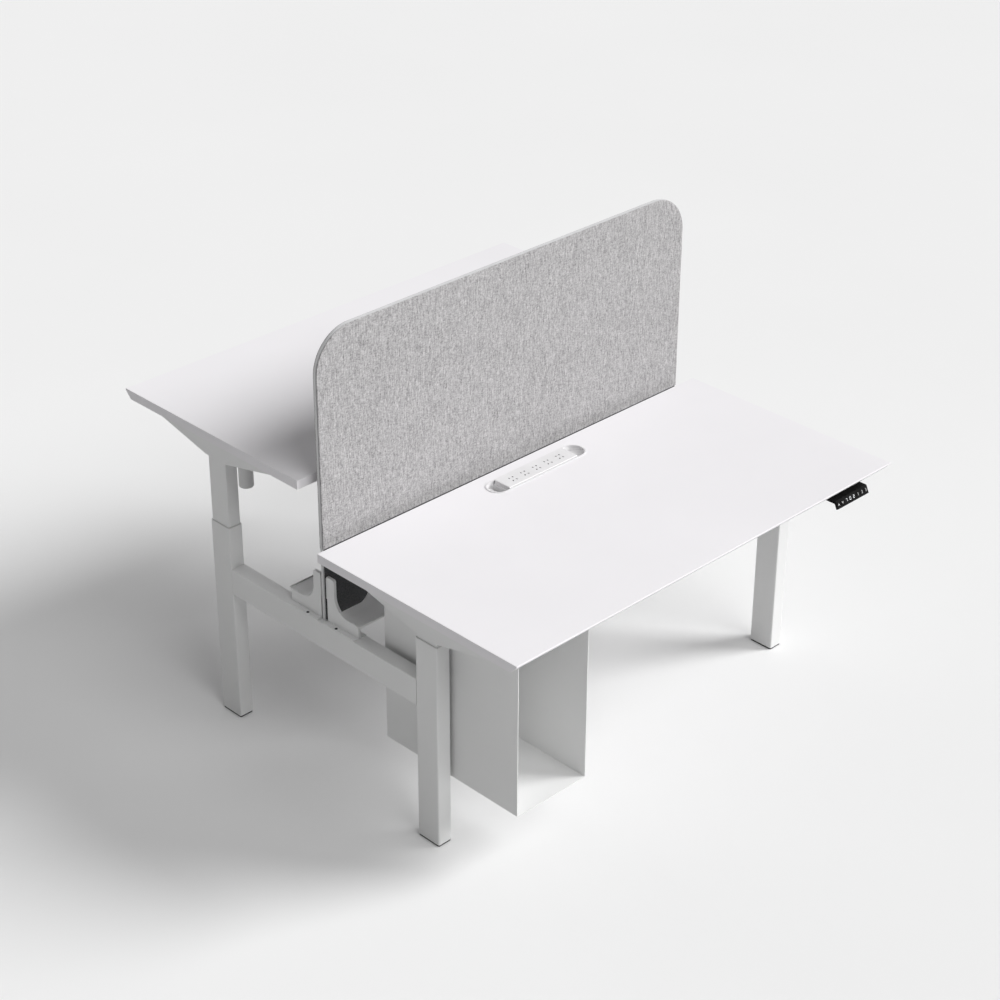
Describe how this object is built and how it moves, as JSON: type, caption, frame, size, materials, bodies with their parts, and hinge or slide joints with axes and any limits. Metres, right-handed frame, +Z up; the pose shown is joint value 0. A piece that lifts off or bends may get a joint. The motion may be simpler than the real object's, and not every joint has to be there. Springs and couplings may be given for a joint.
{
  "type": "standing desk",
  "caption": "Back-to-back electric sit-stand desk: desktops that lift separately on shared leg frames, with a cloth screen, cable trays, a power module and a computer holder.",
  "frame": {"origin": "on the floor, midway between the four columns, under the middle of the screen", "axes": "+X along the desktops to the near user's right, +Y from the near user to the far user, +Z up"},
  "size_m": [1.4, 1.4902, 1.275],
  "materials": {
    "white_paint": "fine-textured white powder coat",
    "white_laminate": "white melamine-faced board",
    "grey_cloth": "light grey woven cloth",
    "screen_board": "dark dyed board, seen at its edges",
    "light_trim": "light grey edge trim",
    "black_plastic": "black moulded plastic",
    "button_plastic": "black button caps with pale signs",
    "foot_plastic": "black moulded pad",
    "guide_plastic": "grey slide plastic",
    "white_plastic": "white moulded plastic",
    "box_plastic": "black moulded housing",
    "motor_paint": "white-coated motor, gearboxes and shaft cover",
    "spindle_steel": "plain steel",
    "nut_brass": "turned brass",
    "black_screws": "black-coated screws"
  },
  "bodies": {
    "base": {"left_near_outer_tube": "white_paint", "left_far_outer_tube": "white_paint", "right_near_outer_tube": "white_paint", "right_far_outer_tube": "white_paint", "left_cross_beam": "white_paint", "right_cross_beam": "white_paint", "column_base_posts": "spindle_steel", "spindle_nuts": "nut_brass", "guide_collars": "guide_plastic", "tray_brackets": "white_paint", "near_cable_tray": "white_paint", "far_cable_tray": "white_paint", "screen_core": "screen_board", "screen_edge_trim": "light_trim", "screen_near_cover": "grey_cloth", "screen_far_cover": "grey_cloth", "frame_screws": "black_screws"},
    "near_desk": {"near_desktop": "white_laminate", "near_left_arm": "white_paint", "near_right_arm": "white_paint", "near_left_inner_tube": "white_paint", "near_right_inner_tube": "white_paint", "near_rails": "white_paint", "near_lift_drive": "motor_paint", "near_glide_rings": "guide_plastic", "near_control_box": "box_plastic", "near_handset_case": "black_plastic", "near_desk_screws": "black_screws", "power_bezel": "white_plastic", "socket_block": "white_plastic", "computer_holder": "white_paint"},
    "far_desk": {"far_desktop": "white_laminate", "far_left_arm": "white_paint", "far_right_arm": "white_paint", "far_left_inner_tube": "white_paint", "far_right_inner_tube": "white_paint", "far_rails": "white_paint", "far_lift_drive": "motor_paint", "far_glide_rings": "guide_plastic", "far_control_box": "box_plastic", "far_handset_case": "black_plastic", "far_desk_screws": "black_screws"},
    "left_near_spindle": {"left_near_spindle": "spindle_steel"},
    "left_far_spindle": {"left_far_spindle": "spindle_steel"},
    "right_near_spindle": {"right_near_spindle": "spindle_steel"},
    "right_far_spindle": {"right_far_spindle": "spindle_steel"},
    "left_near_foot": {"left_near_foot": "foot_plastic"},
    "left_far_foot": {"left_far_foot": "foot_plastic"},
    "right_near_foot": {"right_near_foot": "foot_plastic"},
    "right_far_foot": {"right_far_foot": "foot_plastic"},
    "near_button_up": {"near_button_up": "button_plastic"},
    "near_button_down": {"near_button_down": "button_plastic"},
    "near_button_one": {"near_button_one": "button_plastic"},
    "near_button_two": {"near_button_two": "button_plastic"},
    "near_button_three": {"near_button_three": "button_plastic"},
    "far_button_up": {"far_button_up": "button_plastic"},
    "far_button_down": {"far_button_down": "button_plastic"},
    "far_button_one": {"far_button_one": "button_plastic"},
    "far_button_two": {"far_button_two": "button_plastic"},
    "far_button_three": {"far_button_three": "button_plastic"}
  },
  "joints": [
    {"name": "near_lift", "type": "slide", "parent": "base", "child": "near_desk", "axis": [0, 0, 1], "range_m": [0, 0.45]},
    {"name": "far_lift", "type": "slide", "parent": "base", "child": "far_desk", "axis": [0, 0, 1], "range_m": [-0.18, 0.27]},
    {"name": "left_near_spindle_turn", "type": "hinge", "parent": "near_desk", "child": "left_near_spindle", "pos_m": [-0.65, -0.396, 0.3], "axis": [0, 0, 1], "range_deg": [-10, 10135]},
    {"name": "left_far_spindle_turn", "type": "hinge", "parent": "far_desk", "child": "left_far_spindle", "pos_m": [-0.65, 0.396, 0.5], "axis": [0, 0, 1], "range_deg": [-4060, 6085]},
    {"name": "right_near_spindle_turn", "type": "hinge", "parent": "near_desk", "child": "right_near_spindle", "pos_m": [0.65, -0.396, 0.3], "axis": [0, 0, 1], "range_deg": [-10, 10135]},
    {"name": "right_far_spindle_turn", "type": "hinge", "parent": "far_desk", "child": "right_far_spindle", "pos_m": [0.65, 0.396, 0.5], "axis": [0, 0, 1], "range_deg": [-4060, 6085]},
    {"name": "left_near_levelling", "type": "slide", "parent": "base", "child": "left_near_foot", "axis": [0, 0, -1], "range_m": [0, 0.012]},
    {"name": "left_far_levelling", "type": "slide", "parent": "base", "child": "left_far_foot", "axis": [0, 0, -1], "range_m": [0, 0.012]},
    {"name": "right_near_levelling", "type": "slide", "parent": "base", "child": "right_near_foot", "axis": [0, 0, -1], "range_m": [0, 0.012]},
    {"name": "right_far_levelling", "type": "slide", "parent": "base", "child": "right_far_foot", "axis": [0, 0, -1], "range_m": [0, 0.012]},
    {"name": "near_button_up_press", "type": "slide", "parent": "near_desk", "child": "near_button_up", "axis": [0, 0.8988, -0.4384], "range_m": [0, 0.001], "stiffness_N_per_m": 1000},
    {"name": "near_button_down_press", "type": "slide", "parent": "near_desk", "child": "near_button_down", "axis": [0, 0.8988, -0.4384], "range_m": [0, 0.001], "stiffness_N_per_m": 1000},
    {"name": "near_button_one_press", "type": "slide", "parent": "near_desk", "child": "near_button_one", "axis": [0, 0.8988, -0.4384], "range_m": [0, 0.001], "stiffness_N_per_m": 1000},
    {"name": "near_button_two_press", "type": "slide", "parent": "near_desk", "child": "near_button_two", "axis": [0, 0.8988, -0.4384], "range_m": [0, 0.001], "stiffness_N_per_m": 1000},
    {"name": "near_button_three_press", "type": "slide", "parent": "near_desk", "child": "near_button_three", "axis": [0, 0.8988, -0.4384], "range_m": [0, 0.001], "stiffness_N_per_m": 1000},
    {"name": "far_button_up_press", "type": "slide", "parent": "far_desk", "child": "far_button_up", "axis": [0, -0.8988, -0.4384], "range_m": [0, 0.001], "stiffness_N_per_m": 1000},
    {"name": "far_button_down_press", "type": "slide", "parent": "far_desk", "child": "far_button_down", "axis": [0, -0.8988, -0.4384], "range_m": [0, 0.001], "stiffness_N_per_m": 1000},
    {"name": "far_button_one_press", "type": "slide", "parent": "far_desk", "child": "far_button_one", "axis": [0, -0.8988, -0.4384], "range_m": [0, 0.001], "stiffness_N_per_m": 1000},
    {"name": "far_button_two_press", "type": "slide", "parent": "far_desk", "child": "far_button_two", "axis": [0, -0.8988, -0.4384], "range_m": [0, 0.001], "stiffness_N_per_m": 1000},
    {"name": "far_button_three_press", "type": "slide", "parent": "far_desk", "child": "far_button_three", "axis": [0, -0.8988, -0.4384], "range_m": [0, 0.001], "stiffness_N_per_m": 1000}
  ],
  "couplings": [
    {"joint": "left_near_spindle_turn", "follows": "near_lift", "rad_per_m": 392.7},
    {"joint": "left_far_spindle_turn", "follows": "far_lift", "rad_per_m": 392.7},
    {"joint": "right_near_spindle_turn", "follows": "near_lift", "rad_per_m": 392.7},
    {"joint": "right_far_spindle_turn", "follows": "far_lift", "rad_per_m": 392.7}
  ]
}
